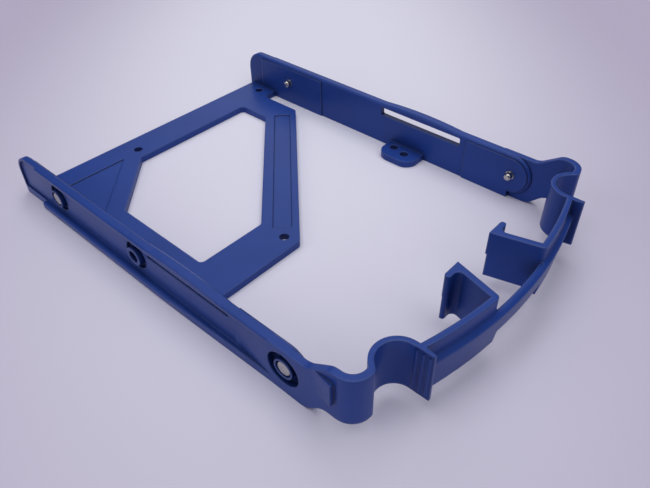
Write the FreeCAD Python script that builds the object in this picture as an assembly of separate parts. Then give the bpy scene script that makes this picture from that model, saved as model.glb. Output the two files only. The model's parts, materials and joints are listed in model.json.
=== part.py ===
"""Tray that clips round one hard drive and slides into a bay.

One moulded frame (two rails, an adapter plate for a small drive, a fixing lug and a
sprung bow handle) and four steel pins that stand in for the drive's side screws.
"""
import FreeCAD, Part
import math
import os

# Drive standards that the tray fits (mm)
DRIVE_WIDTH = 101.6          # large drive, side to side
PIN_PITCH = 101.6            # rear to front side holes of the large drive
PIN_RISE = 6.35              # side holes above the drive's underside
MID_SOCKET = 41.6            # rear to middle side hole
SMALL_PITCH_X = 61.72        # bottom holes of the small drive, across
SMALL_PITCH_Y = 76.6         # bottom holes of the small drive, along

# Rails: channels open to the outside
SIDE_PLAY = 0.2              # drive side to pad
PAD_RAISE = 0.4              # pads stand proud of the rail's inner face
WEB_T = 1.9                  # rail wall
FLANGE_REACH = 1.1           # flanges stand out from the wall
RUNNER_REACH = 1.0           # lower runner stands out from the flanges
RUNNER_ROUND = 0.9           # runner's outer edges
RUNNER_TAPER = 45.0          # runner narrows over this length towards the front block
TOP_ROUND = 0.9              # rail's inner top edge
FILLET = 0.4                 # small roundings of the channel
BEVEL_SHARE = 0.59           # bevel that carries a rounding on round a curve, for each mm of radius
RAIL_RISE = 13.4             # rail top above the plate's top face
FLANGE_T = 1.4               # top flange
FOOT_RISE = 0.5              # lower flange above the plate's top face
REAR_REACH = 24.4            # rail end behind the rear pins
REAR_ROUND = 7.0             # rounded top corner of the rail end
REAR_RIM = 0.8               # rim round the rail end
RIM_REACH = 0.6              # rim stands out from the wall
CHANNEL_END = 10.5           # runner and top flange stop behind the rear pins
BLOCK_BACK = 4.6             # solid front block, behind the front pins
BLOCK_RAMP = 14.0            # wall thickens towards the block over this length
REAR_PAD_BACK = 16.0
REAR_PAD_FRONT = 17.8
FRONT_PAD_BACK = 17.6
PAD_TOP_GAP = 1.0            # pads stop below the rail's top
NOSE_GAP = 1.7               # rail's round front end above its underside
SLOT_START = 20.1            # long slot, behind the front pins
SLOT_LENGTH = 33.9
SLOT_H = 3.1
SLOT_ROUND = 0.6
BUMP_H = 0.8                 # spring bar above the slot is bowed up
BUMP_SINK = 0.1              # its ends lie below the rail's top

# Bosses and pins
BOSS_R = 3.0
POCKET_R = 4.5               # round pocket about the rear and middle bosses
FRONT_POCKET_R = 5.2         # and about the front ones
POCKET_FLOOR = 1.4           # pad face to the pocket's floor
SOCKET_R = 1.95              # empty middle sockets
SOCKET_SKIN = 0.6            # rail's inner face to the socket's floor
SHANK_R = 1.5                # pin in its boss
SHANK_PROUD = 0.05           # shank past the pad face
PIN_R = 1.3                  # free nose of the pin
PIN_REACH = 2.15             # pin tip inside the pad face
HEAD_R = 2.2
HEAD_T = 1.1
HEAD_SINK = 0.15             # head below the boss face
HEAD_GAP = 0.3               # round the head
PIN_FIT = 0.01               # round the shank

# Adapter plate and lug
PLATE_T = 2.4
PLATE_BACK = 22.0            # rear edge behind the rear pins
REAR_ARM = 12.9
LEFT_ARM = 11.4
FRONT_ARM = 14.9
RIGHT_ARM = 11.9
DIAGONAL_ARM = 12.1
PLATE_SLOT = 6.4             # gap between the plate's right edge and the right pad face
NECK_LENGTH = 13.4           # plate to right rail, along the rail
DIAGONAL_START = 31.6        # rear edge to the start of the slanting edge
GUSSET = 22.4                # slanted rear left corner of the window
PLATE_ROUND = 2.0
WINDOW_ROUND = 1.5
HOLE_R = 1.6
HOLE_BACK = 7.6              # rear holes from the plate's rear edge
HOLE_FRONT = 5.0             # front holes from the plate's front edge
HOLE_SIDE = 4.1              # right holes from the right pad face
PANEL_DEPTH = 0.35           # bare sunk panels
PANEL_BACK = 9.0             # corner panel from the rear edge
PANEL_EDGE = 6.15            # corner panel from the window's slanted edge
LONG_PANEL_MARGIN = 2.3      # long panel from the slanting edge
LONG_PANEL_W = 6.2
LONG_PANEL_LENGTH = 71.3
LONG_PANEL_END = 4.2         # long panel from the plate's right edge
LONG_PANEL_ROUND = 0.8
LUG_BACK = 9.2               # lug about its small-drive hole
LUG_FRONT = 5.5
LUG_IN = 4.6
LUG_ROUND_BACK = 4.5
LUG_ROUND_FRONT = 4.5
SPARE_X = 1.4                # second hole in the lug
SPARE_Y = 5.5

# Handle: one upright strip from each rail to its grip tab, and the bow between
STRIP_LOW = 2.7              # strip's lower edge above the plate's top face
STRIP_HIGH = 18.2            # strip's upper edge
LEAF_T = 2.0                 # leaf and corner
ARCH_T = 1.4                 # finger arch and grip tab
LOW_START = 7.0              # leaf's lower edge leaves the rail, ahead of the front pins
LOW_RUN = 5.3
HIGH_START = 7.6             # leaf's upper edge leaves the rail
HIGH_RUN = 7.0
LEAF_ROUND = 5.0
CORNER_REACH = 21.15         # corner's centre line ahead of the front pins
CORNER_R = 4.65
VALLEY_FLAT = 0.45           # corner to the valley before the arch
VALLEY_R = 1.0
ARCH_RISE = 3.35             # arch's crown behind the corner's centre line
ARCH_R = 6.1
ARCH_SLOPE = 47.0            # degrees, valley to arch
TAB_REACH = 29.4             # tab tip ahead of the front pins
TAB_TIP = 0.8                # tab's thickness at the tip
RIB_COUNT = 3
RIB_PITCH = 1.8
RIB_R = 0.5
RIB_PROUD = 0.25
RIB_MARGIN = 1.0             # ribs stop short of the tab's edges
WEDGE_START = 10.6           # latch wedge ahead of the front pins
WEDGE_RUN = 5.4
WEDGE_OUT = 1.3
WEDGE_LOW = 8.0
WEDGE_HIGH = 15.2
BOW_REACH = 32.7             # foremost point of the bow ahead of the front pins
BOW_SAG = 4.9                # bow's front edge, tabs to middle
BOW_LOW = 2.1                # bow's lower edge outside the hooks
LEDGE = 1.55                 # bow's lip in front of the upper wall, at the middle
FOOT_LEDGE = 0.35            # bow's lower edge in front of the upper wall
WALL_SAG = 4.9               # upper wall, tabs to middle
WALL_T = 1.6
LIP_TOP = 13.5               # lip meets the upper wall
LIP_DROP = 1.0               # lip slopes down to its front edge
BAR_LOW = 6.4                # lower edge of the bow between the hooks
BAR_DROP = 0.3               # bar's top below the lip's
BAR_T = 2.0
HOOK_FRONT = 11.4            # hook plate from the middle, at the bow
HOOK_BACK = 7.5              # and at its rear end
HOOK_REAR = 16.25            # hook's rear face ahead of the front pins
HOOK_T = 1.8
HOOK_SEAT = 1.1              # hook plate starts this far inside the bow's wall
HOOK_ROUND = 1.2             # bow's wall into the hook plate
HOOK_CORNER = 1.5            # hook plate into its lip
HOOK_LOW = 3.1
LIP_REACH = 6.4              # hook's lip turns outward
LIP_T = 1.7
LIP_ROUND = 0.75
LIP_STEP = 0.4               # lower half of the lip is set in
LIP_STEP_Z = 10.7
BITE = 0.5                   # shapes of the one moulding run into each other by this

# Places worked out from the sizes above: x from the middle, y from the rear pins
# (the handle lies at -y), z from the plate's top face
pad_x = DRIVE_WIDTH / 2 + SIDE_PLAY
rail_x = pad_x + PAD_RAISE
web_x = rail_x + WEB_T
flange_x = web_x + FLANGE_REACH
runner_x = flange_x + RUNNER_REACH
leaf_x = flange_x - LEAF_T / 2
bottom_z = -PLATE_T
pad_top = RAIL_RISE - PAD_TOP_GAP
front_y = -PIN_PITCH
block_y = front_y + BLOCK_BACK
corner_y = front_y - CORNER_REACH
crown_y = corner_y + ARCH_RISE
half_slope = math.tan(math.radians(ARCH_SLOPE / 2))
valley_x = leaf_x - CORNER_R - VALLEY_FLAT - VALLEY_R * half_slope
arch_x = valley_x - ARCH_RISE / math.tan(math.radians(ARCH_SLOPE))
tab_x = arch_x - ARCH_R * (1 + half_slope)
wall_out = tab_x - ARCH_T / 2
bow_y = front_y - BOW_REACH
wall_y = bow_y + LEDGE
wall_end_y = wall_y + WALL_SAG
lip_z = LIP_TOP - LIP_DROP
hook_y = front_y - HOOK_REAR
hole_x = pad_x - HOLE_SIDE
hole_y = PLATE_BACK - HOLE_BACK
lug_y = hole_y - SMALL_PITCH_Y
TO_ROW = FreeCAD.Vector(0, -(REAR_REACH + bow_y) / 2, PLATE_T)


def flat(u, v, w):
    return FreeCAD.Vector(u, v, w)


def side(u, v, w):
    return FreeCAD.Vector(w, u, v)


def section(u, v, w):
    return FreeCAD.Vector(u, w, v)


def outline(corners, plane, level):
    """Closed wire through (u, v, radius) corners, each rounded by its radius."""
    points = [FreeCAD.Vector(u, v, 0) for u, v, _ in corners]
    stops = []
    for i, (_, _, radius) in enumerate(corners):
        back = (points[i - 1] - points[i]).normalize()
        ahead = (points[(i + 1) % len(points)] - points[i]).normalize()
        half = back.getAngle(ahead) / 2
        reach = radius / math.tan(half)
        crown = points[i] + (back + ahead).normalize() * (radius / math.sin(half) - radius)
        spots = (points[i] + back * reach, crown, points[i] + ahead * reach)
        stops.append([plane(p.x, p.y, level) for p in spots])
    edges = []
    for i, (start, crown, end) in enumerate(stops):
        before = stops[i - 1][2]
        if (start - before).Length > 1e-6:
            edges.append(Part.makeLine(before, start))
        if corners[i][2] > 0:
            edges.append(Part.Arc(start, crown, end).toShape())
    return Part.Wire(edges)


def prism(corners, plane, low, high):
    """Solid between two levels of the plane, with a rounded outline."""
    return Part.Face(outline(corners, plane, low)).extrude(plane(0, 0, high - low))


def slab(y_from, y_to, z_from, z_to, low, high):
    """Upright block in a rail, between two values of x."""
    corners = [(y_from, z_from, 0), (y_to, z_from, 0), (y_to, z_to, 0), (y_from, z_to, 0)]
    return prism(corners, side, low, high)


def drum(y, z, radius, low, high):
    """Cylinder lying along x."""
    return Part.makeCylinder(radius, high - low, FreeCAD.Vector(low, y, z), FreeCAD.Vector(1, 0, 0))


def band(path, widths):
    """Outline of an open path of (u, v, radius) whose straight stretches have these widths."""
    points = [FreeCAD.Vector(u, v, 0) for u, v, _ in path]
    normals = []
    for start, end in zip(points, points[1:]):
        along = (end - start).normalize()
        normals.append(FreeCAD.Vector(-along.y, along.x, 0))
    outlines = []
    for hand in (0.5, -0.5):
        first = points[0] + normals[0] * (hand * widths[0])
        last = points[-1] + normals[-1] * (hand * widths[-1])
        corners = [(first.x, first.y, 0)]
        for i in range(1, len(path) - 1):
            come = normals[i - 1] * (hand / normals[i - 1].cross(normals[i]).z)
            go = normals[i] * (hand / normals[i - 1].cross(normals[i]).z)
            u = points[i].x + widths[i - 1] * go.y - widths[i] * come.y
            v = points[i].y + widths[i] * come.x - widths[i - 1] * go.x
            swell = math.copysign(hand * widths[i], normals[i - 1].cross(normals[i]).z * hand)
            corners.append((u, v, max(path[i][2] - swell, 0)))
        corners.append((last.x, last.y, 0))
        outlines.append(corners)
    return outlines[0] + outlines[1][::-1]


def arc_y(x, apex, sag):
    """y at x on the arc whose middle is at apex and whose ends, at the tabs, lie sag behind."""
    radius = (wall_out ** 2 + sag ** 2) / (2 * sag)
    return apex + radius - math.sqrt(radius ** 2 - x ** 2)


def bow_edge(curve, x_from, x_to, level):
    """One arc of the bow; curve is its (apex, sag)."""
    xs = (x_from, (x_from + x_to) / 2, x_to)
    return Part.Arc(*[FreeCAD.Vector(x, arc_y(x, *curve), level) for x in xs]).toShape()


def bow_outline(front, rear, x_from, x_to, level):
    """Closed wire between two arcs of the bow."""
    near = bow_edge(front, x_from, x_to, level)
    far = bow_edge(rear, x_to, x_from, level)
    return Part.Wire([
        near,
        Part.makeLine(near.lastVertex().Point, far.firstVertex().Point),
        far,
        Part.makeLine(far.lastVertex().Point, near.firstVertex().Point)])


def hook_face(y):
    """x of the right-hand hook plate's inner face."""
    front_end = arc_y(HOOK_FRONT, wall_y, WALL_SAG)
    return HOOK_FRONT - (HOOK_FRONT - HOOK_BACK) * (y - front_end) / (hook_y - front_end)


def lip_start():
    """x where the bow's lip meets the low bar, within the hook's foot."""
    front_end = arc_y(HOOK_FRONT, wall_y, WALL_SAG)
    return hook_face(front_end + (HOOK_SEAT + WALL_T) / 2)


def soften(solid, x, radius):
    """Bevel the upper edges of a rail shape that lie in the plane at x, in line with a rounding."""
    edges = []
    for edge in solid.Edges:
        box = edge.BoundBox
        flush = abs(box.XMin - x) < 1e-4 and box.XLength < 1e-4
        if flush and box.YLength > 1e-4 and box.ZMax > RAIL_RISE - FLANGE_T / 2:
            edges.append(edge)
    return solid.makeChamfer(BEVEL_SHARE * radius, edges)


def channel():
    """Main run of the right-hand rail, its runner narrowing towards the front."""
    run = prism([
        (rail_x, bottom_z, 0),
        (runner_x, bottom_z, RUNNER_ROUND),
        (runner_x, FOOT_RISE, RUNNER_ROUND),
        (web_x, FOOT_RISE, FILLET),
        (web_x, RAIL_RISE - FLANGE_T, FILLET),
        (flange_x, RAIL_RISE - FLANGE_T, 0),
        (flange_x, RAIL_RISE, FILLET),
        (rail_x, RAIL_RISE, TOP_ROUND),
    ], section, block_y, CHANNEL_END)
    taper = prism([
        (flange_x, block_y - BITE, 0),
        (runner_x + BITE, block_y - BITE, 0),
        (runner_x + BITE, block_y + RUNNER_TAPER, 0),
        (runner_x, block_y + RUNNER_TAPER, 0),
        (flange_x, block_y, 0),
    ], flat, bottom_z - BITE, RAIL_RISE)
    return run.cut(taper)


def rail_end():
    """Rounded rear end of the rail: a plain wall with a rim outside."""
    wall = prism([
        (CHANNEL_END - BITE, bottom_z, 0),
        (REAR_REACH, bottom_z, 0),
        (REAR_REACH, RAIL_RISE, REAR_ROUND),
        (CHANNEL_END - BITE, RAIL_RISE, 0),
    ], side, rail_x, web_x + RIM_REACH)
    inside_rim = prism([
        (CHANNEL_END - 2 * BITE, FOOT_RISE, 0),
        (REAR_REACH - REAR_RIM, FOOT_RISE, FILLET),
        (REAR_REACH - REAR_RIM, RAIL_RISE - REAR_RIM, REAR_ROUND - REAR_RIM),
        (CHANNEL_END - 2 * BITE, RAIL_RISE - REAR_RIM, 0),
    ], side, web_x, flange_x)
    return soften(wall, rail_x, TOP_ROUND).cut(inside_rim)


def nosed(y_back, margin, low, high):
    """Block between two values of x with a round front end about the front pin."""
    top = RAIL_RISE - margin
    foot = bottom_z + NOSE_GAP + margin
    radius = top - PIN_RISE
    return prism([
        (y_back, bottom_z, 0),
        (front_y, bottom_z, 0),
        (front_y, foot, 0),
        (front_y - radius, foot, min(radius, PIN_RISE - foot)),
        (front_y - radius, top, radius),
        (y_back, top, 0),
    ], side, low, high)


def front_block():
    """Solid front of the rail, reached by a ramp on the wall's outer face."""
    ramp = prism([
        (rail_x + TOP_ROUND, block_y + BLOCK_RAMP, 0),
        (web_x, block_y + BLOCK_RAMP, 0),
        (flange_x, block_y, 0),
        (flange_x, front_y, 0),
        (rail_x + TOP_ROUND, front_y, 0),
    ], flat, bottom_z, RAIL_RISE - FLANGE_T / 2)
    nose = nosed(block_y, 0, rail_x, flange_x - LEAF_T + BITE)
    return [ramp, soften(nose, rail_x, TOP_ROUND)]


def spring_bar():
    """Bowed bar above the rail's long slot."""
    start = front_y + SLOT_START
    end = start + SLOT_LENGTH
    low = RAIL_RISE - FLANGE_T
    high = RAIL_RISE - BUMP_SINK
    spots = [side(start, low, rail_x), side(start, high, rail_x),
             side((start + end) / 2, RAIL_RISE + BUMP_H, rail_x),
             side(end, high, rail_x), side(end, low, rail_x)]
    profile = Part.Wire([
        Part.makeLine(spots[0], spots[1]),
        Part.Arc(*spots[1:4]).toShape(),
        Part.makeLine(spots[3], spots[4]),
        Part.makeLine(spots[4], spots[0])])
    bar = Part.Face(profile).extrude(FreeCAD.Vector(flange_x - rail_x, 0, 0))
    return soften(soften(bar, rail_x, TOP_ROUND), flange_x, FILLET)


def pads():
    """Raised pads on the rail's inner face, about the rear and front pins."""
    rear = slab(-REAR_PAD_FRONT, REAR_PAD_BACK, bottom_z, pad_top, pad_x, rail_x + BITE)
    front = nosed(front_y + FRONT_PAD_BACK, PAD_TOP_GAP, pad_x, rail_x + BITE)
    return [rear, front]


def slot():
    """Long slot through the rail's wall under the spring bar."""
    start = front_y + SLOT_START
    high = RAIL_RISE - FLANGE_T
    return prism([
        (start, high - SLOT_H, SLOT_ROUND),
        (start + SLOT_LENGTH, high - SLOT_H, SLOT_ROUND),
        (start + SLOT_LENGTH, high, SLOT_ROUND),
        (start, high, SLOT_ROUND),
    ], side, pad_x - BITE, flange_x + BITE)


def drill_bosses(solid):
    """Round pockets about the three bosses of the right-hand rail, and their bores."""
    floor_x = pad_x + POCKET_FLOOR
    head_x = flange_x - HEAD_SINK
    for y, radius in ((0, POCKET_R), (-MID_SOCKET, POCKET_R), (front_y, FRONT_POCKET_R)):
        solid = solid.cut(drum(y, PIN_RISE, radius, floor_x, runner_x))
        solid = solid.fuse(drum(y, PIN_RISE, BOSS_R, floor_x - BITE, flange_x))
    for y in (0, front_y):
        solid = solid.cut(drum(y, PIN_RISE, SHANK_R + PIN_FIT, pad_x - BITE, flange_x + BITE))
        solid = solid.cut(drum(y, PIN_RISE, HEAD_R + HEAD_GAP, head_x - HEAD_T, flange_x + BITE))
    return solid.cut(drum(-MID_SOCKET, PIN_RISE, SOCKET_R, rail_x + SOCKET_SKIN, flange_x + BITE))


def strip():
    """Upright strip from the front block: leaf, corner and finger arch."""
    path = [
        (leaf_x, block_y, 0),
        (leaf_x, corner_y, CORNER_R),
        (valley_x, corner_y, VALLEY_R),
        (arch_x, crown_y, ARCH_R),
        (tab_x, crown_y, ARCH_R),
        (tab_x, wall_end_y, 0),
    ]
    run = prism(band(path, (LEAF_T, LEAF_T, ARCH_T, ARCH_T, ARCH_T)), flat, bottom_z, STRIP_HIGH)
    elevation = prism([
        (block_y + BITE, bottom_z, 0),
        (front_y - LOW_START, bottom_z, LEAF_ROUND),
        (front_y - LOW_START - LOW_RUN, STRIP_LOW, LEAF_ROUND),
        (bow_y, STRIP_LOW, 0),
        (bow_y, STRIP_HIGH, 0),
        (front_y - HIGH_START - HIGH_RUN, STRIP_HIGH, LEAF_ROUND),
        (front_y - HIGH_START, RAIL_RISE, LEAF_ROUND),
        (block_y + BITE, RAIL_RISE, 0),
    ], side, 0, runner_x)
    return run.common(elevation)


def latch_wedge():
    """Ramp on the leaf's outer face, with its step towards the front."""
    start = front_y - WEDGE_START
    return prism([
        (flange_x - BITE, start, 0),
        (flange_x, start, 0),
        (flange_x + WEDGE_OUT, start - WEDGE_RUN, 0),
        (flange_x - BITE, start - WEDGE_RUN, 0),
    ], flat, WEDGE_LOW, WEDGE_HIGH)


def grip_tab():
    """Tab in front of the arch, thinner at its tip, with upright ribs."""
    tip_y = front_y - TAB_REACH
    outer = tab_x + ARCH_T / 2
    tab = prism([
        (outer, wall_end_y + ARCH_T, 0),
        (outer, tip_y, 0),
        (outer - TAB_TIP, tip_y, 0),
        (outer - ARCH_T, wall_end_y, 0),
        (outer - ARCH_T, wall_end_y + ARCH_T, 0),
    ], flat, STRIP_LOW, STRIP_HIGH)
    ribs = []
    for i in range(RIB_COUNT):
        rib_y = tip_y + RIB_MARGIN + i * RIB_PITCH
        foot = FreeCAD.Vector(outer + RIB_PROUD - RIB_R, rib_y, STRIP_LOW + RIB_MARGIN)
        ribs.append(Part.makeCylinder(RIB_R, STRIP_HIGH - STRIP_LOW - 2 * RIB_MARGIN, foot))
    return tab.multiFuse(ribs)


def bow_lip():
    """Lip of the bow's right half, cut down to a low bar from the middle to the hook."""
    rear = (wall_y + WALL_T, WALL_SAG)
    foot = (wall_y - FOOT_LEDGE, WALL_SAG)
    fronts = ((foot, BOW_LOW), ((bow_y, BOW_SAG), lip_z), ((wall_y, WALL_SAG), LIP_TOP))
    lip = Part.makeLoft([bow_outline(front, rear, 0, tab_x, z) for front, z in fronts], True, True)
    half = lip_start()
    deep = LEDGE + WALL_T + WALL_SAG
    low = FreeCAD.Vector(0, bow_y - BITE, BOW_LOW - BITE)
    high = FreeCAD.Vector(0, bow_y - BITE, LIP_TOP - BAR_DROP)
    below = Part.makeBox(half, deep, BAR_LOW - low.z, low)
    above = Part.makeBox(half, deep, BAR_DROP + BITE, high)
    back = bow_outline((bow_y + BAR_T, BOW_SAG), (bow_y + deep, BOW_SAG), 0, half, BOW_LOW)
    behind = Part.Face(back).extrude(FreeCAD.Vector(0, 0, LIP_TOP - BOW_LOW))
    return lip.cut(below).cut(above).cut(behind)


def bow_wall():
    """Upper wall of the bow's right half, rounded where the hook begins."""
    rear = (wall_y + WALL_T, WALL_SAG)
    run = Part.Face(bow_outline((wall_y, WALL_SAG), rear, HOOK_BACK, tab_x, LIP_TOP))
    beside_hook = prism([
        (hook_face(bow_y), bow_y, 0),
        (tab_x + BITE, bow_y, 0),
        (tab_x + BITE, hook_y, 0),
        (HOOK_BACK, hook_y, 0),
    ], flat, LIP_TOP - BITE, STRIP_HIGH + BITE)
    wall = run.extrude(FreeCAD.Vector(0, 0, STRIP_HIGH - LIP_TOP)).common(beside_hook)
    corner = FreeCAD.Vector(HOOK_FRONT, arc_y(HOOK_FRONT, wall_y, WALL_SAG), (LIP_TOP + STRIP_HIGH) / 2)
    edges = [edge for edge in wall.Edges if (edge.CenterOfMass - corner).Length < 1e-3]
    return wall.makeFillet(HOOK_ROUND, edges)


def hook():
    """Right-hand hook: a plate running back from the bow, with a lip turned outward."""
    seat_y = arc_y(HOOK_FRONT, wall_y, WALL_SAG) + HOOK_SEAT
    across = HOOK_T * math.hypot(1, hook_face(0) - hook_face(1))
    turn_x = HOOK_BACK + LIP_REACH
    plate = prism([
        (hook_face(seat_y), seat_y, 0),
        (HOOK_BACK, hook_y, 0),
        (turn_x, hook_y, LIP_ROUND),
        (turn_x, hook_y - LIP_T, LIP_ROUND),
        (hook_face(hook_y - LIP_T) + across, hook_y - LIP_T, HOOK_CORNER),
        (hook_face(seat_y) + across, seat_y, 0),
    ], flat, HOOK_LOW, STRIP_HIGH)
    step = Part.makeBox(LIP_REACH + 2 * BITE, LIP_STEP, LIP_STEP_Z - HOOK_LOW + BITE,
                        FreeCAD.Vector(HOOK_BACK - BITE, hook_y - LIP_STEP, HOOK_LOW - BITE))
    return plate.cut(step)


def adapter_plate():
    """Plate for a small drive: window, slanted arm and bare sunk panels."""
    right_x = pad_x - PLATE_SLOT
    front_edge = lug_y - HOLE_FRONT
    slant = right_x - (PLATE_BACK - DIAGONAL_START)
    plate = prism([
        (-rail_x - BITE, PLATE_BACK, 0),
        (rail_x + BITE, PLATE_BACK, 0),
        (rail_x + BITE, PLATE_BACK - NECK_LENGTH, 0),
        (right_x, PLATE_BACK - NECK_LENGTH, PLATE_ROUND),
        (right_x, PLATE_BACK - DIAGONAL_START, PLATE_ROUND),
        (slant + front_edge, front_edge, PLATE_ROUND),
        (-rail_x - BITE, front_edge, 0),
    ], flat, bottom_z, 0)

    window_left = -pad_x + LEFT_ARM
    window_right = right_x - RIGHT_ARM
    window_back = PLATE_BACK - REAR_ARM
    window_front = front_edge + FRONT_ARM
    inner_slant = slant - DIAGONAL_ARM * math.sqrt(2)
    window = prism([
        (window_left, window_back - GUSSET, WINDOW_ROUND),
        (window_left + GUSSET, window_back, WINDOW_ROUND),
        (window_right, window_back, WINDOW_ROUND),
        (window_right, window_right - inner_slant, WINDOW_ROUND),
        (window_front + inner_slant, window_front, WINDOW_ROUND),
        (window_left, window_front, WINDOW_ROUND),
    ], flat, bottom_z - BITE, BITE)

    panel_back = PLATE_BACK - PANEL_BACK
    panel_slant = window_back - window_left - GUSSET + PANEL_EDGE * math.sqrt(2)
    corner_panel = prism([
        (-pad_x, panel_back, 0),
        (panel_back - panel_slant, panel_back, 0),
        (-pad_x, panel_slant - pad_x, 0),
    ], flat, -PANEL_DEPTH, BITE)
    across = LONG_PANEL_W / math.sqrt(2)
    along = LONG_PANEL_LENGTH / math.sqrt(2)
    end_x = right_x - LONG_PANEL_END
    end_y = end_x - slant + LONG_PANEL_MARGIN * math.sqrt(2)
    long_panel = prism([
        (end_x, end_y, LONG_PANEL_ROUND),
        (end_x - across, end_y + across, LONG_PANEL_ROUND),
        (end_x - across - along, end_y + across - along, LONG_PANEL_ROUND),
        (end_x - along, end_y - along, LONG_PANEL_ROUND),
    ], flat, -PANEL_DEPTH, BITE)
    return plate.cut(window).cut(corner_panel).cut(long_panel)


def fixing_lug():
    """Ear on the right rail that carries the fourth hole of the small drive."""
    return prism([
        (rail_x + BITE, lug_y + LUG_BACK, 0),
        (rail_x + BITE, lug_y - LUG_FRONT, 0),
        (hole_x - LUG_IN, lug_y - LUG_FRONT, LUG_ROUND_FRONT),
        (hole_x - LUG_IN, lug_y + LUG_BACK, LUG_ROUND_BACK),
    ], flat, bottom_z, 0)


def fixing_holes():
    """The small drive's four holes and the lug's spare one."""
    left_x = hole_x - SMALL_PITCH_X
    places = [(left_x, hole_y), (hole_x, hole_y), (left_x, lug_y), (hole_x, lug_y),
              (hole_x + SPARE_X, lug_y + SPARE_Y)]
    return [Part.makeCylinder(HOLE_R, PLATE_T + 2 * BITE, FreeCAD.Vector(x, y, bottom_z - BITE))
            for x, y in places]


def moulded_frame():
    """The whole moulding as one solid."""
    right = channel().multiFuse([rail_end(), spring_bar()] + front_block() + pads()).cut(slot())
    right = right.multiFuse([strip(), latch_wedge(), grip_tab(), bow_lip(), bow_wall(), hook()])
    right = drill_bosses(right)
    left = right.mirror(FreeCAD.Vector(0, 0, 0), FreeCAD.Vector(1, 0, 0))
    body = right.multiFuse([left, adapter_plate(), fixing_lug()])
    for hole in fixing_holes():
        body = body.cut(hole)
    return body.removeSplitter()


def pin(hand, y):
    """Turned steel pin pressed in from outside the rail; hand is 1 right, -1 left."""
    head_x = flange_x - HEAD_SINK
    nose_x = pad_x - SHANK_PROUD
    tip_x = pad_x - PIN_REACH
    corners = [
        (head_x, 0),
        (head_x, HEAD_R),
        (head_x - HEAD_T, HEAD_R),
        (head_x - HEAD_T, SHANK_R),
        (nose_x, SHANK_R),
        (nose_x, PIN_R),
        (tip_x, PIN_R),
        (tip_x, 0),
        (head_x, 0),
    ]
    profile = Part.makePolygon([FreeCAD.Vector(x, radius, 0) for x, radius in corners])
    solid = Part.Face(profile).revolve(FreeCAD.Vector(0, 0, 0), FreeCAD.Vector(1, 0, 0), 360)
    if hand < 0:
        solid = solid.mirror(FreeCAD.Vector(0, 0, 0), FreeCAD.Vector(1, 0, 0))
    solid.translate(FreeCAD.Vector(0, y, PIN_RISE))
    return solid


os.makedirs("parts", exist_ok=True)
nodes = {"moulded_frame": moulded_frame()}
for end_name, pin_y in (("rear", 0), ("front", front_y)):
    for side_name, hand in (("left", -1), ("right", 1)):
        nodes["pin_" + end_name + "_" + side_name] = pin(hand, pin_y)
for name, shape in nodes.items():
    shape.translate(TO_ROW)
    shape.exportStep("parts/" + name + ".step")
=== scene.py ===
"""Dresses the hard drive tray: moulded frame, turned pins, paper floor, soft light and camera."""
import json
import math
from collections import namedtuple

import bmesh
import bpy
from mathutils import Matrix, Vector


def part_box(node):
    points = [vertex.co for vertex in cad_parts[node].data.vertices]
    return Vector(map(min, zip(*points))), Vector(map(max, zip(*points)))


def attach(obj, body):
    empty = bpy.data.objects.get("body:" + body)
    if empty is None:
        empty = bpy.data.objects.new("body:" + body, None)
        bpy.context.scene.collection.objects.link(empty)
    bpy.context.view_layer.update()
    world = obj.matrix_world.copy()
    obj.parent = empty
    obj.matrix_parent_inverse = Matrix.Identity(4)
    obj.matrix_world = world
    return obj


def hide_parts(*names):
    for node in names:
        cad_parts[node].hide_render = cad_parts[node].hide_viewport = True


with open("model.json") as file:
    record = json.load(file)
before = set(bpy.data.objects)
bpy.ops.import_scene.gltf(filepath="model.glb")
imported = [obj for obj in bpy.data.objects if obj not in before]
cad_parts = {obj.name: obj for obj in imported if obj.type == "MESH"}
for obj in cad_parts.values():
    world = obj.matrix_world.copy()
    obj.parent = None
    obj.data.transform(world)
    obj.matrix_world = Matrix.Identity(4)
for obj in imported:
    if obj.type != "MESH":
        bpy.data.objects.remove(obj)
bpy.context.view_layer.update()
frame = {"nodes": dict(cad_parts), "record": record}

bl_info = {
    "name": "Hard Drive Tray",
    "version": (1, 1, 0),
    "blender": (4, 5, 0),
    "location": "View3D > Sidebar > Drive Tray",
    "description": "Dresses the moulded drive tray and sets its paper stage",
    "category": "Object",
}

MM = 0.001
MERGE = 0.001 * MM           # corners closer than this are one

# Pins
PIN_NODES = sorted(name for name in frame["nodes"] if name.startswith("pin_"))
PIN_LOW, PIN_HIGH = (Vector(corner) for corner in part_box(PIN_NODES[0]))
NOSE = next(m["dims"] for m in frame["record"]["mounts"] if m["kind"] == "pin")
PIN_FACETS = 48              # flat steps round a pin
ROUND_STEPS = 5              # points along each of its roundings

# Places on the moulding, from the middle of the tray
WEB_OUT = 53.3 * MM          # rails' outer faces
WEB_SKIN = 0.5 * MM          # rub marks and painted sheen fade out this far inside them
RUB_SHEEN_FRONT = -50 * MM         # rub marks and painted sheen are faint from here forwards
RUB_SHEEN_REAR = 60 * MM           # and full from here back
TAB_OUT = 36.4 * MM          # grip tabs' ribbed faces lie outside this
TAB_FRONT = -70.9 * MM       # and in front of this
TAB_FACE = 36.69 * MM        # tabs' outer faces
RIB_PROUD = 0.25 * MM        # ribs stand this far off them
BOW_FRONT = -66 * MM         # the bow's rounder edges lie in front of this
BOW_REAR = -62 * MM          # and the rails' crisper ones behind this

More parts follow.
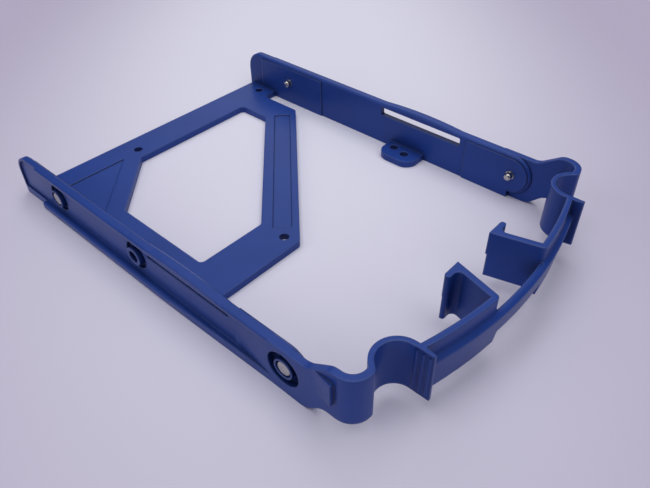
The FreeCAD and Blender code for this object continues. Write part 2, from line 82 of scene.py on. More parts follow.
# Sizes of the patterns on the materials
CLOUD = 18 * MM              # patches where the melt flowed
CLOUD_DEPTH = 0.07           # share by which they are paler or deeper
HOLLOW_SHADE = 0.14          # share of the colour that the painted shade in hollows darkens towards
RUB_SHEEN_WIDTH = 0.5 * MM         # streaks of the rub marks and painted sheen
RUB_SHEEN_LENGTH = 25 * MM
RUB_SHEEN_FAINT = 0.1              # share of the rub marks and painted sheen that is left at the front
GRAIN = 0.3 * MM             # eroded mould grain, really about 0.12 mm, drawn so that it shows
GRAIN_HEIGHT = 0.02 * MM
GRAIN_MATT = 0.05            # roughness that the grain adds or takes
DRAW_WIDTH = 1.2 * MM        # upright draw marks
DRAW_LENGTH = 60 * MM
DRAW_HEIGHT = 0.08 * MM
RING_GAP = 0.18 * MM         # tool rings, really about 0.05 mm apart, drawn so that they show
RING_HEIGHT = 0.02 * MM
STAIN = 1.4 * MM             # duller patches on the plating
STAIN_SHADE = 0.8            # share of the colour that is left in them
FIBRE = 0.6 * MM             # pressed fibre, really about 0.2 mm, drawn so that it shows
FIBRE_HEIGHT = 0.02 * MM
LIGHT_POOL_START = 0.2             # share of the painted pool of light that is evenly pale
HOLLOW_SAMPLES = 16          # rays that look for faces close by
EDGE_SAMPLES = 8             # rays that look for an edge to round

# Stage
LAMPS = {                    # where each soft light shines from, and how wide it looks from the tray
    "overhead": ((0.0, 0.0, 1.0), math.radians(67)),
    "rear": ((0.5, 0.45, 0.5), math.radians(39)),
    "front": ((-0.05, -0.5, 0.3), math.radians(46)),
    "left": ((-0.5, 0.25, 0.3), math.radians(35)),
}
SENSOR = 36.0                # width in millimetres, as Blender states it
NEAR_CLIP = 5 * MM

Surface = namedtuple("Surface", "place y out_x normal side level")


def linear(hex_colour):
    """Linear RGB of an sRGB hex value."""
    channels = [int(hex_colour[i:i + 2], 16) / 255 for i in (0, 2, 4)]
    return [c / 12.92 if c <= 0.04045 else ((c + 0.055) / 1.055) ** 2.4 for c in channels]


def rgba(colour, share=1.0):
    """Opaque colour for a socket, deeper or paler by a share."""
    return (*[share * c for c in colour], 1)


def add(tree, kind, feeds=None, **settings):
    """Adds a node; feeds (links or values) go to its named or numbered inputs, settings to its
    attributes or sockets."""
    node = tree.nodes.new(kind)
    for key, value in settings.items():
        if hasattr(node, key):
            setattr(node, key, value)
        else:
            node.inputs[key.replace("_", " ")].default_value = value
    for key, feed in (feeds or {}).items():
        if isinstance(feed, bpy.types.NodeSocket):
            tree.links.new(feed, node.inputs[key])
        else:
            node.inputs[key].default_value = feed
    return node


def new_material(name):
    """Empty node material and its tree."""
    material = bpy.data.materials.new(name)
    material.use_nodes = True
    material.node_tree.nodes.clear()
    return material, material.node_tree


def read_surface(tree):
    """Each spot's place, its distance from the middle, and how far its face looks sideways or up."""
    place = add(tree, "ShaderNodeTexCoord").outputs["Object"]
    x, y, _ = add(tree, "ShaderNodeSeparateXYZ", {"Vector": place}).outputs
    normal = add(tree, "ShaderNodeNewGeometry").outputs["Normal"]
    normal_x, _, normal_z = add(tree, "ShaderNodeSeparateXYZ", {"Vector": normal}).outputs
    out_x, side, level = (add(tree, "ShaderNodeMath", {0: part}, operation="ABSOLUTE").outputs["Value"]
                          for part in (x, normal_x, normal_z))
    return Surface(place, y, out_x, normal, side, level)


def cloudy_colour(tree, look, spot):
    """Colour of the plastic, a little cloudy where the melt flowed."""
    flow = add(tree, "ShaderNodeTexNoise", {"Vector": spot.place}, Scale=1 / CLOUD, Detail=3.0,
               Roughness=0.6)
    cloud = add(tree, "ShaderNodeMapRange", {"Value": flow.outputs["Fac"]}, From_Min=0.3, From_Max=0.7)
    colour = add(tree, "ShaderNodeMix", {"Factor": cloud.outputs["Result"]}, data_type="RGBA",
                 A=rgba(look.frame_colour, 1 - CLOUD_DEPTH), B=rgba(look.frame_colour, 1 + CLOUD_DEPTH))
    return colour.outputs["Result"]


def painted_hollow_shade(tree, look):
    """How much painted shade darkens creases and small steps, and how free each spot is of faces close by.
    """
    around, near = (add(tree, "ShaderNodeAmbientOcclusion", samples=HOLLOW_SAMPLES, only_local=True,
                        Distance=reach).outputs["AO"] for reach in (look.crease_reach, look.step_reach))
    crease = add(tree, "ShaderNodeMapRange", {"Value": around}, From_Min=0.3, From_Max=0.9,
                 To_Min=look.crease_shade, To_Max=0.0)
    step = add(tree, "ShaderNodeMapRange", {"Value": near}, From_Min=0.5, From_Max=0.95,
               To_Min=look.crease_shade, To_Max=0.0)
    # share of painted shade: the darker of the crease's and the step's
    depth = add(tree, "ShaderNodeMath", {0: crease.outputs["Result"], 1: step.outputs["Result"]},
                operation="MAXIMUM")
    return depth.outputs["Value"], near


def ribbed_faces(tree, spot):
    """One on the ribbed faces of the grip tabs, nought elsewhere."""
    outside = add(tree, "ShaderNodeMath", {0: spot.out_x, 1: TAB_OUT}, operation="GREATER_THAN")
    ahead = add(tree, "ShaderNodeMath", {0: spot.y, 1: TAB_FRONT}, operation="LESS_THAN")
    ribs = add(tree, "ShaderNodeMath", {0: outside.outputs["Value"], 1: ahead.outputs["Value"]},
               operation="MULTIPLY")
    return ribs.outputs["Value"]


def shaded_grooves(tree, look, spot, ribs):
    """Painted shade in the grooves between the ribs."""
    groove = add(tree, "ShaderNodeMapRange", {"Value": spot.out_x}, From_Min=TAB_FACE,
                 From_Max=TAB_FACE + RIB_PROUD, To_Min=look.groove_shade, To_Max=0.0)
    shade_in_grooves = add(tree, "ShaderNodeMath", {0: groove.outputs["Result"], 1: ribs}, operation="MULTIPLY")
    return shade_in_grooves.outputs["Value"]


def soft_edges(tree, look, spot, ribs):
    """Normal that rounds the edges by the mould's own radius: most at the bow, least at the ribs."""
    bow = add(tree, "ShaderNodeMapRange", {"Value": spot.y}, From_Min=BOW_FRONT, From_Max=BOW_REAR,
              To_Min=look.bow_round, To_Max=look.edge_round)
    radius = add(tree, "ShaderNodeMapRange", {"Value": ribs, "To Min": bow.outputs["Result"]},
                 To_Max=look.rib_round)
    edges = add(tree, "ShaderNodeBevel", {"Radius": radius.outputs["Result"]}, samples=EDGE_SAMPLES)
    return edges.outputs["Normal"]


def worn_and_highlit_edges(tree, look, spot, rounded, near):
    """Paler rims where the rounded normal leaves the face and nothing stands close by: partly wear from
    handling, partly a painted highlight.
    """
    turn = add(tree, "ShaderNodeVectorMath", {0: rounded, 1: spot.normal}, operation="DOT_PRODUCT")
    edge = add(tree, "ShaderNodeMapRange", {"Value": turn.outputs["Value"]}, From_Min=0.995, From_Max=0.85,
               To_Min=0.0, To_Max=look.edge_wear_and_highlight)
    proud = add(tree, "ShaderNodeMapRange", {"Value": near}, From_Min=0.85, From_Max=0.98)
    paler_rim = add(tree, "ShaderNodeMath", {0: edge.outputs["Result"], 1: proud.outputs["Result"]},
               operation="MULTIPLY")
    return paler_rim.outputs["Value"]


def rubbed_and_sheened_rails(tree, look, spot):
    """Streaks along the outer faces of the rails, most at the rear: partly rub marks, partly a painted sheen
    off the paper.
    """
    along = add(tree, "ShaderNodeMapping", {"Vector": spot.place}, vector_type="POINT",
                Scale=(1.0, RUB_SHEEN_WIDTH / RUB_SHEEN_LENGTH, 1.0))
    streak = add(tree, "ShaderNodeTexNoise", {"Vector": along.outputs["Vector"]}, Scale=1 / RUB_SHEEN_WIDTH,
                 Detail=3.0, Roughness=0.55)
    marks = add(tree, "ShaderNodeMapRange", {"Value": streak.outputs["Fac"]}, From_Min=0.1, From_Max=0.95,
                To_Min=0.0, To_Max=look.rub_marks_and_sheen)
    outer = add(tree, "ShaderNodeMapRange", {"Value": spot.out_x}, From_Min=WEB_OUT - WEB_SKIN,
                From_Max=WEB_OUT)
    upright = add(tree, "ShaderNodeMapRange", {"Value": spot.side}, From_Min=0.9, From_Max=0.99)
    # the painted sheen and the rub marks fade towards the front
    rearward = add(tree, "ShaderNodeMapRange", {"Value": spot.y}, From_Min=RUB_SHEEN_FRONT, From_Max=RUB_SHEEN_REAR,
                   To_Min=RUB_SHEEN_FAINT, To_Max=1.0)
    rub_and_sheen = marks.outputs["Result"]
    for share in (outer, upright, rearward):
        product = add(tree, "ShaderNodeMath", {0: rub_and_sheen, 1: share.outputs["Result"]}, operation="MULTIPLY")
        rub_and_sheen = product.outputs["Value"]
    return rub_and_sheen


def mould_grain(tree, look, spot, rounded):
    """Roughness and normal of the finely eroded surface."""
    grain = add(tree, "ShaderNodeTexNoise", {"Vector": spot.place}, Scale=1 / GRAIN, Detail=2.0)
    matt = add(tree, "ShaderNodeMapRange", {"Value": grain.outputs["Fac"]}, From_Min=0.3, From_Max=0.7,
               To_Min=look.frame_roughness - GRAIN_MATT, To_Max=look.frame_roughness + GRAIN_MATT)
    bump = add(tree, "ShaderNodeBump", {"Height": grain.outputs["Fac"], "Normal": rounded},
               Strength=0.12, Distance=GRAIN_HEIGHT)
    return matt.outputs["Result"], bump.outputs["Normal"]


def drawn_walls(tree, look, spot, grained):
    """Normal with upright lines where the walls slid out of the mould."""
    down = add(tree, "ShaderNodeMapping", {"Vector": spot.place}, vector_type="POINT",
               Scale=(1.0, 1.0, DRAW_WIDTH / DRAW_LENGTH))
    lines = add(tree, "ShaderNodeTexNoise", {"Vector": down.outputs["Vector"]}, Scale=1 / DRAW_WIDTH,
                Detail=2.0)
    wall = add(tree, "ShaderNodeMapRange", {"Value": spot.level}, From_Min=0.3, From_Max=0.1,
               To_Min=0.0, To_Max=look.draw_marks)
    bump = add(tree, "ShaderNodeBump",
               {"Height": lines.outputs["Fac"], "Normal": grained, "Strength": wall.outputs["Result"]},
               Distance=DRAW_HEIGHT)
    return bump.outputs["Normal"]


def moulded_blue(look):
    """ABS, injection moulded in a finely eroded steel mould.

    Satin: broad soft highlights, a pale sheen off the paper, a faint grain, slightly cloudy colour
    where the melt flowed, upright draw marks where the walls slid out of the mould, painted shade in
    creases, at small steps and in the grooves between the grip ribs, soft edges whose paler rims are
    partly wear from handling and partly a painted highlight, and streaks along the outsides of the
    rails that are partly rub marks and partly a painted sheen.
    """
    material, tree = new_material("abs_injection_moulded_blue")
    spot = read_surface(tree)
    ribs = ribbed_faces(tree, spot)
    rounded = soft_edges(tree, look, spot, ribs)
    shaded_creases, near = painted_hollow_shade(tree, look)
    shade_in_grooves = shaded_grooves(tree, look, spot, ribs)
    # painted shade: the darker of the creases' and the rib grooves' shade
    depth = add(tree, "ShaderNodeMath", {0: shaded_creases, 1: shade_in_grooves}, operation="MAXIMUM").outputs["Value"]
    colour = cloudy_colour(tree, look, spot)
    # colour layers: painted shade in hollows; paler rims, partly wear and partly painted highlight; rail
    # streaks, partly rub marks and partly painted sheen
    layers = (
        (depth, rgba(look.frame_colour, HOLLOW_SHADE)),
        (worn_and_highlit_edges(tree, look, spot, rounded, near), rgba(look.rub_sheen_tint)),
        (rubbed_and_sheened_rails(tree, look, spot), rgba(look.rub_sheen_tint)),
    )
    for share, tint in layers:
        layer = add(tree, "ShaderNodeMix", {"Factor": share, "A": colour}, data_type="RGBA", B=tint)
        colour = layer.outputs["Result"]
    roughness, grained = mould_grain(tree, look, spot, rounded)
    normal = drawn_walls(tree, look, spot, grained)
    shader = add(tree, "ShaderNodeBsdfPrincipled",
                 {"Base Color": colour, "Roughness": roughness, "Normal": normal},
                 IOR=1.52, Specular_IOR_Level=0.18)
    add(tree, "ShaderNodeOutputMaterial", {"Surface": shader.outputs["BSDF"]})
    return material


def turned_steel(look):
    """Free-cutting steel, turned and nickel plated: bright, with fine rings round the lathe's axis."""
    material, tree = new_material("steel_turned_nickel_plated")
    turned = add(tree, "ShaderNodeAttribute", attribute_name="turned").outputs["Vector"]
    flat = add(tree, "ShaderNodeVectorMath", {0: turned, 1: (1, 1, 0)}, operation="MULTIPLY")
    radius = add(tree, "ShaderNodeVectorMath", {0: flat.outputs["Vector"]}, operation="LENGTH")
    rings = add(tree, "ShaderNodeTexNoise", {"W": radius.outputs["Value"]}, noise_dimensions="1D",
                Scale=1 / RING_GAP, Detail=2.0)
    stain = add(tree, "ShaderNodeTexNoise", {"Vector": turned}, Scale=1 / STAIN, Detail=3.0)
    colour = add(tree, "ShaderNodeMix", {"Factor": stain.outputs["Fac"]}, data_type="RGBA",
                 A=rgba(look.pin_colour, STAIN_SHADE), B=rgba(look.pin_colour))
    matt = add(tree, "ShaderNodeMapRange", {"Value": rings.outputs["Fac"]},
               From_Min=0.3, From_Max=0.7, To_Min=0.2, To_Max=0.36)
    bump = add(tree, "ShaderNodeBump", {"Height": rings.outputs["Fac"]}, Strength=0.2, Distance=RING_HEIGHT)
    shader = add(tree, "ShaderNodeBsdfPrincipled",
                 {"Base Color": colour.outputs["Result"], "Roughness": matt.outputs["Result"],
                  "Normal": bump.outputs["Normal"]}, Metallic=1.0)
    add(tree, "ShaderNodeOutputMaterial", {"Surface": shader.outputs["BSDF"]})
    return material


def paper_with_light_pool(look):
    """Studio paper, matt, with a painted pool of light: pale under the tray and a little deeper towards its
    rim, where painted shade stands for the light's falloff.
    """
    material, tree = new_material("paper_graduated_pale")
    place = add(tree, "ShaderNodeTexCoord").outputs["Object"]
    pool = add(tree, "ShaderNodeMapping", {"Vector": place}, vector_type="TEXTURE",
               Location=look.light_pool_middle, Rotation=(0, 0, look.light_pool_turn),
               Scale=(look.light_pool_length, look.light_pool_width, 1))
    reach = add(tree, "ShaderNodeVectorMath", {0: pool.outputs["Vector"]}, operation="LENGTH")
    # painted pool of light: pale in the middle, painted shade towards the rim
    fade = add(tree, "ShaderNodeMapRange", {"Value": reach.outputs["Value"]},
               interpolation_type="SMOOTHSTEP", From_Min=LIGHT_POOL_START, From_Max=1.0)
    colour = add(tree, "ShaderNodeMix", {"Factor": fade.outputs["Result"]}, data_type="RGBA",
                 A=rgba(look.paper_colour), B=rgba(look.rim_shade_colour))
    fibre = add(tree, "ShaderNodeTexNoise", {"Vector": place}, Scale=1 / FIBRE, Detail=2.0)
    bump = add(tree, "ShaderNodeBump", {"Height": fibre.outputs["Fac"]}, Strength=0.05,
               Distance=FIBRE_HEIGHT)
    shader = add(tree, "ShaderNodeBsdfPrincipled",
                 {"Base Color": colour.outputs["Result"], "Normal": bump.outputs["Normal"]}, Roughness=0.85)
    add(tree, "ShaderNodeOutputMaterial", {"Surface": shader.outputs["BSDF"]})
    return material


class TrayLook(bpy.types.PropertyGroup):
    """Colours and finishes of the tray."""
    frame_colour: bpy.props.FloatVectorProperty(
        name="Frame colour", description="Colour of the moulded plastic", subtype="COLOR", size=3,
        default=linear("23408D"), min=0, max=1)
    # pale tint of rubbed plastic, also used for the painted highlight on rims and the painted sheen on the
    # rails
    rub_sheen_tint: bpy.props.FloatVectorProperty(
        name="Rub and sheen colour", description="Plastic where it has been rubbed", subtype="COLOR", size=3,
        default=linear("5A6CA8"), min=0, max=1)
    frame_roughness: bpy.props.FloatProperty(
        name="Frame roughness", description="How matt the moulded plastic is", subtype="FACTOR",
        default=0.33, min=0, max=1)
    edge_round: bpy.props.FloatProperty(
        name="Edge rounding", description="Radius of the moulding's edges", unit="LENGTH",
        default=0.6 * MM, min=0)
    bow_round: bpy.props.FloatProperty(
        name="Bow rounding", description="Radius of the bow's edges", unit="LENGTH",
        default=0.9 * MM, min=0)
    rib_round: bpy.props.FloatProperty(
        name="Rib rounding", description="Radius of the edges at the grip ribs", unit="LENGTH",
        default=0.08 * MM, min=0)
    # reach of the painted shade in creases and at small steps
    crease_reach: bpy.props.FloatProperty(
        name="Crease reach", description="How near faces darken each other", unit="LENGTH",
        default=7 * MM, min=0)
    step_reach: bpy.props.FloatProperty(
        name="Step reach", description="How near the faces at a small step darken each other",
        unit="LENGTH", default=1 * MM, min=0)
    # strength of the painted shade in the tightest creases
    crease_shade: bpy.props.FloatProperty(
        name="Crease shade", description="How dark the tightest creases are", subtype="FACTOR",
        default=0.8, min=0, max=1)
    # strength of the painted shade in the grooves between the grip ribs
    groove_shade: bpy.props.FloatProperty(
        name="Groove shade", description="How dark the grooves between the grip ribs are",
        subtype="FACTOR", default=0.3, min=0, max=1)
    draw_marks: bpy.props.FloatProperty(
        name="Draw marks", description="Strength of the upright lines on the walls", subtype="FACTOR",
        default=0.15, min=0, max=1)
    # paler rims on the edges: partly wear, partly a painted highlight
    edge_wear_and_highlight: bpy.props.FloatProperty(
        name="Edge wear and highlight", description="How far edges fade to the rubbed colour", subtype="FACTOR",
        default=0.5, min=0, max=1)
    # streaks on the rails' outsides: partly rub marks, partly a painted sheen
    rub_marks_and_sheen: bpy.props.FloatProperty(
        name="Rub marks and sheen", description="How far the rails' outsides fade to the rubbed colour",
        subtype="FACTOR", default=0.5, min=0, max=1)
    smooth_angle: bpy.props.FloatProperty(
        name="Smooth angle", description="Faces that meet under this angle are one curved face",
        subtype="ANGLE", default=math.radians(26), min=0)
    pin_colour: bpy.props.FloatVectorProperty(
        name="Pin colour", description="Colour of the plated steel", subtype="COLOR", size=3,
        default=linear("C0BDB9"), min=0, max=1)


class PinSizes(bpy.types.PropertyGroup):
    """Sizes of a turned locating pin."""
    head_radius: bpy.props.FloatProperty(
        name="Head Radius", description="Radius of the head", unit="LENGTH",
        default=(PIN_HIGH.z - PIN_LOW.z) / 2, min=0)
    head_height: bpy.props.FloatProperty(
        name="Head Height", description="Height of the head", unit="LENGTH", default=1.1 * MM, min=0)
    head_edge: bpy.props.FloatProperty(
        name="Head Edge", description="Rounding of the head's edge", unit="LENGTH",
        default=0.5 * MM, min=0)
    shank_radius: bpy.props.FloatProperty(
        name="Shank Radius", description="Radius inside the boss", unit="LENGTH",
        default=1.5 * MM, min=0)
    nose_radius: bpy.props.FloatProperty(
        name="Nose Radius", description="Radius of the free nose", unit="LENGTH",
        default=NOSE["r_mm"] * MM, min=0)
    nose_length: bpy.props.FloatProperty(
        name="Nose Length", description="Length of the free nose", unit="LENGTH",
        default=NOSE["length_mm"] * MM, min=0)
    nose_round: bpy.props.FloatProperty(
        name="Nose Round", description="Rounding of the nose's tip", unit="LENGTH",
        default=0.8 * MM, min=0)
    length: bpy.props.FloatProperty(
        name="Length", description="Head face to nose tip", unit="LENGTH",
        default=PIN_HIGH.x - PIN_LOW.x, min=0)


class StageLook(bpy.types.PropertyGroup):
    """Paper, light and camera; each of the lamps has a strength under its own name."""
    paper_colour: bpy.props.FloatVectorProperty(
        name="Paper colour", description="Colour of the floor", subtype="COLOR", size=3,
        default=linear("E2E1F1"), min=0, max=1)
    # painted pool of light on the floor: paper colour in its middle, painted shade towards the rim
    rim_shade_colour: bpy.props.FloatVectorProperty(
        name="Rim shade colour", description="Colour of the floor away from the tray", subtype="COLOR", size=3,
        default=linear("B9B1CA"), min=0, max=1)
    light_pool_middle: bpy.props.FloatVectorProperty(
        name="Light pool middle", description="Palest point of the floor", subtype="TRANSLATION",
        unit="LENGTH", size=3, default=(88 * MM, 82 * MM, 0))
    light_pool_turn: bpy.props.FloatProperty(
        name="Light pool turn", description="Bearing of the pale pool's length", subtype="ANGLE",
        default=math.radians(42.8))
    light_pool_length: bpy.props.FloatProperty(
        name="Pool length", description="Half length of the pale pool", unit="LENGTH",
        default=360 * MM, min=0)
    light_pool_width: bpy.props.FloatProperty(
        name="Pool width", description="Half width of the pale pool", unit="LENGTH",
        default=163 * MM, min=0)
    floor_size: bpy.props.FloatProperty(
        name="Floor size", description="Side of the paper", unit="LENGTH", default=40.0, min=0.5)
    overhead: bpy.props.FloatProperty(
        name="Overhead light", description="Strength of the soft overhead light, W/m2",
        default=1.9, min=0)
    rear: bpy.props.FloatProperty(
        name="Rear light", description="Strength of the light behind the right rail, W/m2",
        default=0.38, min=0)
    front: bpy.props.FloatProperty(
        name="Front light", description="Strength of the light from the front, W/m2",
        default=0.47, min=0)
    left: bpy.props.FloatProperty(
        name="Left light", description="Strength of the light from the left, W/m2",
        default=0.5, min=0)
    room_colour: bpy.props.FloatVectorProperty(
        name="Room colour", description="Colour of the room's walls", subtype="COLOR", size=3,
        default=linear("E6DEF8"), min=0, max=1)
    room_light: bpy.props.FloatProperty(
        name="Room light", description="Strength of the even light from the room",
        default=0.06, min=0)
    wall_light: bpy.props.FloatProperty(
        name="Wall brightness", description="How bright the room's far wall looks",
        default=0.52, min=0)
    camera_place: bpy.props.FloatVectorProperty(
        name="Camera place", description="Where the camera stands", subtype="TRANSLATION",
        unit="LENGTH", size=3, default=(-114.4 * MM, -116.51 * MM, 126.92 * MM))
    camera_azimuth: bpy.props.FloatProperty(
        name="Azimuth", description="Camera's bearing round the tray", subtype="ANGLE",
        default=math.radians(-47.226))
    camera_elevation: bpy.props.FloatProperty(
        name="Elevation", description="Camera's height above the horizon", subtype="ANGLE",
        default=math.radians(40.946))
    camera_roll: bpy.props.FloatProperty(
        name="Roll", description="Camera's tilt", subtype="ANGLE", default=math.radians(-1.116))
    camera_lens: bpy.props.FloatProperty(
        name="Lens", description="Focal length on a 36 mm wide sensor", unit="CAMERA",
        default=34.56, min=10)


def new_object(name, data):
    """Object for a finished mesh, lamp or camera, linked to the scene."""
    thing = bpy.data.objects.new(name, data)
    bpy.context.scene.collection.objects.link(thing)
    return thing


def plain_mesh(piece):
    """Turns the piece's live modifiers into a plain mesh."""
    graph = bpy.context.evaluated_depsgraph_get()
    mesh = bpy.data.meshes.new_from_object(piece.evaluated_get(graph))
    if not mesh.polygons:
        raise RuntimeError(piece.name + " came out empty")
    piece.modifiers.clear()
    piece.data = mesh


def soften(skin, angle):
    """Shades a skin smooth, with sharp edges where its faces turn by more than the angle."""
    for face in skin.faces:
        face.smooth = True
    for edge in skin.edges:
        edge.smooth = edge.calc_face_angle(math.pi) < angle


def smooth_shell(node, angle):
    """Copy of a node's mesh in one skin, smooth across curved faces and sharp at the edges."""
    mesh = node.data.copy()
    mesh.materials.clear()
    skin = bmesh.new()
    skin.from_mesh(mesh)
    bmesh.ops.remove_doubles(skin, verts=skin.verts, dist=MERGE)
    soften(skin, angle)
    for layer in list(skin.loops.layers.float_vector):
        skin.loops.layers.float_vector.remove(layer)
    skin.to_mesh(mesh)
    skin.free()
    return mesh


class TRAY_OT_moulded_frame(bpy.types.Operator):
    """Give the one-piece frame its smooth skin and its moulded plastic"""
    bl_idname = "drive_tray.moulded_frame"
    bl_label = "Moulded frame"

    def execute(self, context):
        look = context.scene.tray_look
        shell = smooth_shell(frame["nodes"]["moulded_frame"], look.smooth_angle)
        piece = new_object("frame_moulding", shell)
        even = piece.modifiers.new("even_shading", "WEIGHTED_NORMAL")
        even.keep_sharp = True
        plain_mesh(piece)
        piece.data.materials.append(moulded_blue(look))
        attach(piece, "root")
        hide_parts("moulded_frame")
        return {"FINISHED"}


def pin_tree():
    """Geometry nodes that turn one pin on a lathe and set it on every point, head outwards."""
    tree = bpy.data.node_groups.new("turned_pins", "GeometryNodeTree")
    tree.interface.new_socket("Places", in_out="INPUT", socket_type="NodeSocketGeometry")
    for size in PinSizes.__annotations__.values():
        tree.interface.new_socket(size.keywords["name"], in_out="INPUT", socket_type="NodeSocketFloat")
    tree.interface.new_socket("Facets", in_out="INPUT", socket_type="NodeSocketInt")
    tree.interface.new_socket("Material", in_out="INPUT", socket_type="NodeSocketMaterial")
    tree.interface.new_socket("Pins", in_out="OUTPUT", socket_type="NodeSocketGeometry")
    size = add(tree, "NodeGroupInput").outputs
    half = half_outline(tree, size)

    # turned about the lathe's axis, with the turned place kept for the tool rings
    ring = add(tree, "GeometryNodeCurvePrimitiveCircle",
               {"Resolution": size["Facets"], "Radius": size["Head Radius"]}, mode="RADIUS")
    level = add(tree, "GeometryNodeSetCurveNormal", {"Curve": ring.outputs["Curve"]}, mode="Z_UP")
    body = add(tree, "GeometryNodeCurveToMesh", {"Curve": level.outputs["Curve"], "Profile Curve": half})
    closed = add(tree, "GeometryNodeMergeByDistance", {"Geometry": body.outputs["Mesh"]}, Distance=MERGE)
    place = add(tree, "GeometryNodeInputPosition").outputs["Position"]
    kept = add(tree, "GeometryNodeStoreNamedAttribute",
               {"Geometry": closed.outputs["Geometry"], "Value": place},
               data_type="FLOAT_VECTOR", domain="POINT", Name="turned")

    # one on each point, with its head away from the middle of the tray
    outward = add(tree, "ShaderNodeVectorMath", {0: place, 1: (1, 0, 0)}, operation="MULTIPLY")
    turn = add(tree, "FunctionNodeAlignRotationToVector", {"Vector": outward.outputs["Vector"]}, axis="Z")
    pins = add(tree, "GeometryNodeInstanceOnPoints",
               {"Points": size["Places"], "Instance": kept.outputs["Geometry"],
                "Rotation": turn.outputs["Rotation"]})
    real = add(tree, "GeometryNodeRealizeInstances", {"Geometry": pins.outputs["Instances"]})
    dressed = add(tree, "GeometryNodeSetMaterial",
                  {"Geometry": real.outputs["Geometry"], "Material": size["Material"]})
    add(tree, "NodeGroupOutput", {"Pins": dressed.outputs["Geometry"]})
    return tree


def half_outline(tree, size):
    """Half outline of a pin as a curve, set in from the ring that it is turned round."""
    shoulder = add(tree, "ShaderNodeMath", {0: size["Length"], 1: size["Nose Length"]}, operation="SUBTRACT")
    shoulder = shoulder.outputs["Value"]
    outline = [              # radius, depth below the head's face, rounding
        (None, None, None),
        (size["Head Radius"], None, size["Head Edge"]),
        (size["Head Radius"], size["Head Height"], None),
        (size["Shank Radius"], size["Head Height"], None),
        (size["Shank Radius"], shoulder, None),
        (size["Nose Radius"], shoulder, None),
        (size["Nose Radius"], size["Length"], size["Nose Round"]),
        (None, size["Length"], None),
    ]
    index = add(tree, "GeometryNodeInputIndex").outputs["Index"]
    corner = add(tree, "GeometryNodeIndexSwitch", {"Index": index}, data_type="VECTOR")
    rounding = add(tree, "GeometryNodeIndexSwitch", {"Index": index}, data_type="FLOAT")
    for number, (radius, depth, edge) in enumerate(outline):
        for switch in (corner, rounding):
            if number >= len(switch.index_switch_items):
                switch.index_switch_items.new()
        ends = {key: socket for key, socket in (("X", radius), ("Y", depth)) if socket}
        point = add(tree, "ShaderNodeCombineXYZ", ends)
        tree.links.new(point.outputs["Vector"], corner.inputs[number + 1])
        if edge:
            tree.links.new(edge, rounding.inputs[number + 1])
    reach = add(tree, "ShaderNodeCombineXYZ", {"X": size["Head Radius"]})
    inset = add(tree, "ShaderNodeVectorMath", {0: corner.outputs["Output"], 1: reach.outputs["Vector"]},
                operation="SUBTRACT")
    line = add(tree, "GeometryNodeMeshLine", Count=len(outline))
    curve = add(tree, "GeometryNodeMeshToCurve", {"Mesh": line.outputs["Mesh"]})
    bent = add(tree, "GeometryNodeSetPosition",
               {"Geometry": curve.outputs["Curve"], "Position": inset.outputs["Vector"]})
    half = add(tree, "GeometryNodeFilletCurve",
               {"Curve": bent.outputs["Geometry"], "Radius": rounding.outputs["Output"]},
               mode="POLY", Count=ROUND_STEPS)
    return half.outputs["Curve"]


def pin_heads():
    """Middle of each pin's head face, where the frame has it."""
    heads = []
    for name in PIN_NODES:
        low, high = (Vector(corner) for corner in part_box(name))
        middle = (low + high) / 2
        heads.append((low.x if middle.x < 0 else high.x, middle.y, middle.z))
    return heads


class TRAY_OT_locating_pins(bpy.types.Operator):
    """Turn the four locating pins and set them in their bosses"""
    bl_idname = "drive_tray.locating_pins"
    bl_label = "Locating pins"

    def execute(self, context):
        look = context.scene.tray_look
        sizes = context.scene.pin_sizes
        mesh = bpy.data.meshes.new("locating_pins")
        mesh.from_pydata(pin_heads(), [], [])
        piece = new_object("locating_pins", mesh)
        lathe = piece.modifiers.new("lathe", "NODES")
        lathe.node_group = pin_tree()
        values = {size.keywords["name"]: getattr(sizes, key)
                  for key, size in PinSizes.__annotations__.items()}
        values["Facets"] = PIN_FACETS
        values["Material"] = turned_steel(look)
        for socket in lathe.node_group.interface.items_tree:
            if socket.name in values:
                lathe[socket.identifier] = values[socket.name]
        plain_mesh(piece)
        skin = bmesh.new()
        skin.from_mesh(piece.data)
        bmesh.ops.recalc_face_normals(skin, faces=skin.faces)
        soften(skin, look.smooth_angle)
        skin.to_mesh(piece.data)
        skin.free()
        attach(piece, "root")
        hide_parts(*PIN_NODES)
        return {"FINISHED"}


def lay_paper(look):
    """Pale floor under the tray, with a painted pool of light."""
    half = look.floor_size / 2
    corners = [(-half, -half, 0), (half, -half, 0), (half, half, 0), (-half, half, 0)]
    mesh = bpy.data.meshes.new("paper")
    mesh.from_pydata(corners, [], [(0, 1, 2, 3)])
    mesh.materials.append(paper_with_light_pool(look))
    new_object("paper", mesh)


def hang_lamp(name, place, spread, strength):
    """Soft light from far away, as wide as the spread, that lights all the paper alike."""
    lamp = bpy.data.lights.new(name, "SUN")
    lamp.angle = spread
    lamp.energy = strength
    light = new_object(name, lamp)
    light.location = place
    light.rotation_euler = (-Vector(place)).to_track_quat("-Z", "Y").to_euler()


def light_room(context, look):
    """Even light from the room's pale walls, which look paler than the little light that they shed."""
    world = bpy.data.worlds.new("room")
    world.use_nodes = True
    tree = world.node_tree
    back = tree.nodes["Background"]
    back.inputs["Color"].default_value = rgba(look.room_colour)
    seen = add(tree, "ShaderNodeLightPath").outputs["Is Camera Ray"]
    wall = add(tree, "ShaderNodeMapRange", {"Value": seen}, To_Min=look.room_light, To_Max=look.wall_light)
    tree.links.new(wall.outputs["Result"], back.inputs["Strength"])
    context.scene.world = world
    context.scene.view_settings.view_transform = "Standard"


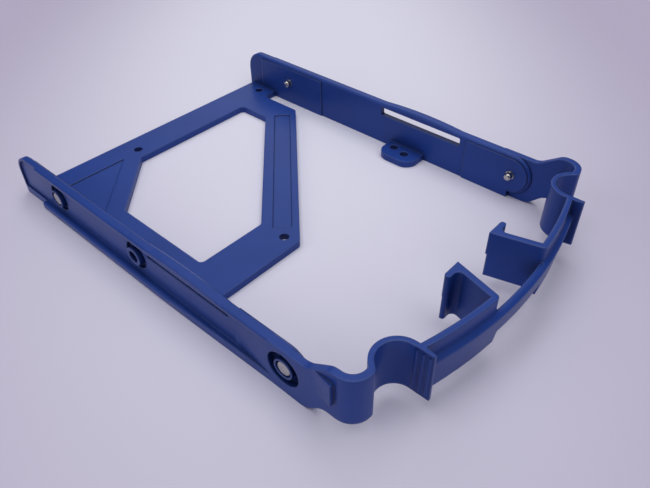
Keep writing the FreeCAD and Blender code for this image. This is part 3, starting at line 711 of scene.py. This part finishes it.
def set_camera(context, look):
    """Camera at the photograph's view."""
    lens = bpy.data.cameras.new("view")
    lens.sensor_width = SENSOR
    lens.lens = look.camera_lens
    lens.clip_start = NEAR_CLIP
    camera = new_object("view", lens)
    flat = Matrix.Rotation(look.camera_azimuth, 4, "Z")
    raised = Matrix.Rotation(math.pi / 2 - look.camera_elevation, 4, "X")
    rolled = Matrix.Rotation(look.camera_roll, 4, "Z")
    camera.matrix_world = Matrix.Translation(look.camera_place) @ flat @ raised @ rolled
    context.scene.camera = camera


class TRAY_OT_stage(bpy.types.Operator):
    """Lay the paper, hang the lights and set the camera"""
    bl_idname = "drive_tray.stage"
    bl_label = "Stage"

    def execute(self, context):
        look = context.scene.stage_look
        lay_paper(look)
        for name, (place, spread) in LAMPS.items():
            hang_lamp(name, place, spread, getattr(look, name))
        light_room(context, look)
        set_camera(context, look)
        return {"FINISHED"}


class TRAY_PT_panel(bpy.types.Panel):
    """Sidebar panel of the drive tray"""
    bl_idname = "TRAY_PT_panel"
    bl_label = "Drive Tray"
    bl_space_type = "VIEW_3D"
    bl_region_type = "UI"
    bl_category = "Drive Tray"

    def draw(self, context):
        layout = self.layout
        scene = context.scene
        for group in (scene.tray_look, scene.pin_sizes, scene.stage_look):
            column = layout.column(align=True)
            for name in group.__annotations__:
                column.prop(group, name)
        for operator in OPERATORS:
            layout.operator(operator.bl_idname)


OPERATORS = (TRAY_OT_moulded_frame, TRAY_OT_locating_pins, TRAY_OT_stage)
CLASSES = (TrayLook, PinSizes, StageLook, *OPERATORS, TRAY_PT_panel)


def register():
    """Makes the properties, operators and panel known."""
    for cls in CLASSES:
        bpy.utils.register_class(cls)
    bpy.types.Scene.tray_look = bpy.props.PointerProperty(type=TrayLook)
    bpy.types.Scene.pin_sizes = bpy.props.PointerProperty(type=PinSizes)
    bpy.types.Scene.stage_look = bpy.props.PointerProperty(type=StageLook)


def unregister():
    """Takes them out again."""
    del bpy.types.Scene.stage_look
    del bpy.types.Scene.pin_sizes
    del bpy.types.Scene.tray_look
    for cls in reversed(CLASSES):
        bpy.utils.unregister_class(cls)


def main():
    """Builds the pieces and the stage."""
    register()
    bpy.ops.drive_tray.moulded_frame()
    bpy.ops.drive_tray.locating_pins()
    bpy.ops.drive_tray.stage()


if __name__ == "__main__":
    main()
